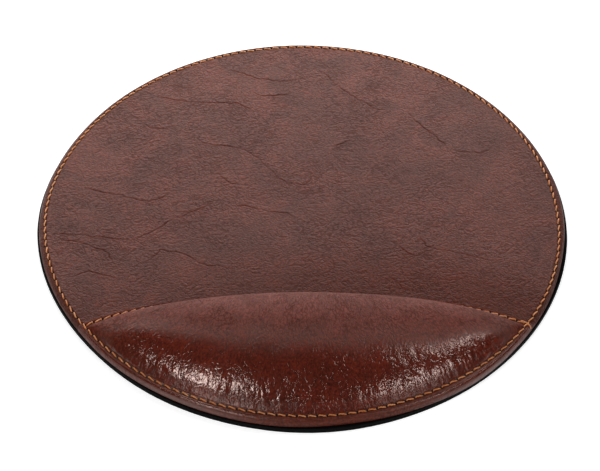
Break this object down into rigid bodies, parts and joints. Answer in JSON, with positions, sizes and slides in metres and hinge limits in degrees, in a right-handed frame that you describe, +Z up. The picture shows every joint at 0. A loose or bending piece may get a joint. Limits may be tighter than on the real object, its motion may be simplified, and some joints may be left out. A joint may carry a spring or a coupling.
{
  "type": "mouse pad",
  "caption": "Round leather mouse pad with a padded wrist rest sewn in along the front edge, a turned and stitched rim and a non-slip base.",
  "frame": {"origin": "middle of the round underside, on the desk", "axes": "+Z up from the desk, -Y towards the user and the wrist rest, +X to the user's right"},
  "size_m": [0.22, 0.22, 0.0195],
  "materials": {
    "base_rubber": "matt black, fine cell texture",
    "fibreboard": "raw fibreboard",
    "panel_leather": "mottled brown, satin, fine crackled grain with long creases",
    "cover_leather": "dark red-brown, polished, fine wrinkles",
    "foam": "open-cell foam",
    "thread": "orange-tan twisted polyester"
  },
  "bodies": {
    "root": {"base_sheet": "base_rubber", "core_board": "fibreboard", "mousing_panel": "panel_leather", "wrist_rest_cover": "cover_leather", "wrist_rest_foam": "foam", "rim_needle_thread": "thread", "rim_bobbin_thread": "thread", "seam_needle_thread": "thread", "seam_bobbin_thread": "thread"}
  },
  "joints": []
}
